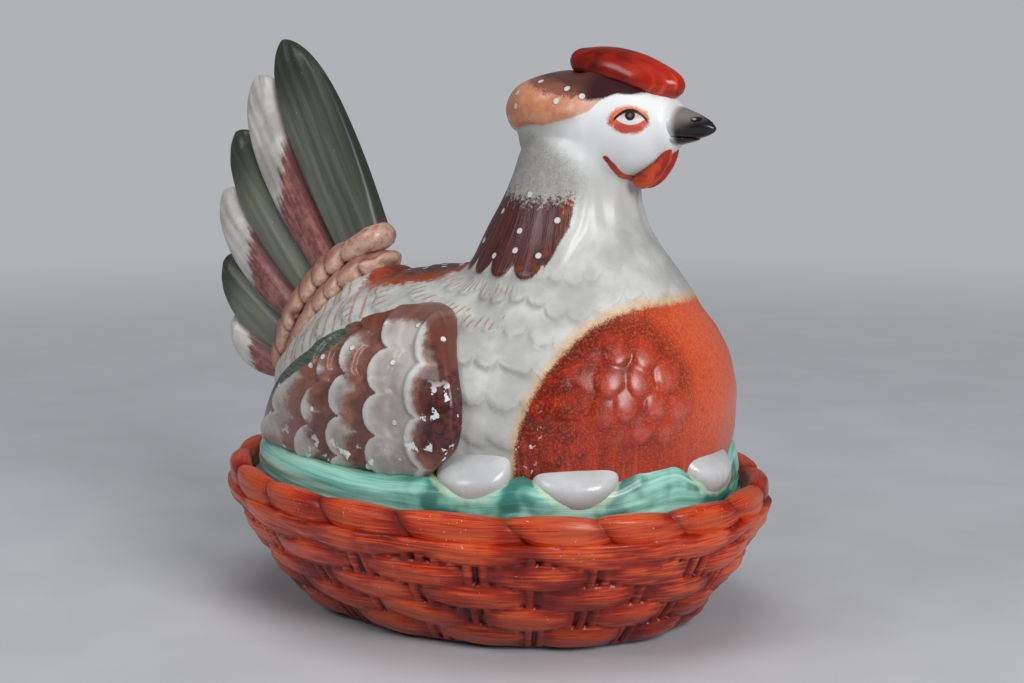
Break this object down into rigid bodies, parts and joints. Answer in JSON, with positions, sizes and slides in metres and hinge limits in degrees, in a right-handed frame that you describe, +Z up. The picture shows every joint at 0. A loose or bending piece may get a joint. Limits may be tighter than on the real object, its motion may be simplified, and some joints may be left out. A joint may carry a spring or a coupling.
{
  "type": "covered tureen",
  "caption": "Porcelain covered dish: a hollow hen on a grass bed with eggs lifts off an oval wicker-moulded basket dish.",
  "frame": {"origin": "middle of the foot ring, on the surface that the dish stands on", "axes": "+X the way that the hen faces, +Y its left side, +Z up"},
  "size_m": [0.2511, 0.1797, 0.2131],
  "materials": {
    "bare_biscuit": "unglazed, fine grained",
    "basket_red_glaze": "streaked iron red under a clear glaze, worn on the high spots",
    "white_glaze": "clear glaze over white porcelain",
    "bed_green_glaze": "brushed turquoise green under a clear glaze",
    "egg_white_glaze": "clear glaze over white porcelain",
    "hen_painted_glaze": "white porcelain, stippled iron red on the breast and maroon on the neck, clear glaze",
    "face_white_glaze": "clear glaze over white porcelain, eye and lids painted",
    "crest_orange_glaze": "peach orange and maroon with white enamel dots",
    "comb_red_glaze": "glossy iron red with darker streaks",
    "beak_black_glaze": "grey to black, glossy",
    "wing_painted_glaze": "scalloped feathers in white and mauve brown, clear glaze",
    "covert_tan_glaze": "tan and mauve brown scallops, clear glaze",
    "feather_green_glaze": "sage grey green with darker streaks, clear glaze",
    "feather_white_glaze": "white tip and maroon streaked base, clear glaze"
  },
  "bodies": {
    "dish": {"foot_ring": "bare_biscuit", "basket_bowl": "basket_red_glaze", "weave_row_1": "basket_red_glaze", "weave_row_2": "basket_red_glaze", "weave_row_3": "basket_red_glaze", "weave_row_4": "basket_red_glaze", "weave_row_5": "basket_red_glaze", "rim_roll": "basket_red_glaze", "rim_loops": "basket_red_glaze", "cover_ledge": "white_glaze"},
    "cover": {"nest_bed": "bed_green_glaze", "cover_flange": "bare_biscuit", "egg_front": "egg_white_glaze", "egg_right_1": "egg_white_glaze", "egg_right_2": "egg_white_glaze", "egg_left_1": "egg_white_glaze", "egg_left_2": "egg_white_glaze", "hen_body": "hen_painted_glaze", "neck": "hen_painted_glaze", "head": "face_white_glaze", "crest": "crest_orange_glaze", "comb": "comb_red_glaze", "beak_upper": "beak_black_glaze", "beak_lower": "beak_black_glaze", "wattle_right": "comb_red_glaze", "wattle_left": "comb_red_glaze", "wing_right": "wing_painted_glaze", "wing_left": "wing_painted_glaze", "tail_root": "hen_painted_glaze", "covert_row_inner": "covert_tan_glaze", "covert_row_outer": "covert_tan_glaze", "tail_feather_1": "feather_green_glaze", "tail_feather_2": "feather_white_glaze", "tail_feather_3": "feather_green_glaze", "tail_feather_4": "feather_white_glaze", "tail_feather_5": "feather_green_glaze", "tail_feather_6": "feather_white_glaze"}
  },
  "joints": [
    {"name": "cover_lift", "type": "slide", "parent": "dish", "child": "cover", "axis": [0, 0, 1], "range_m": [0, 0.12]}
  ]
}
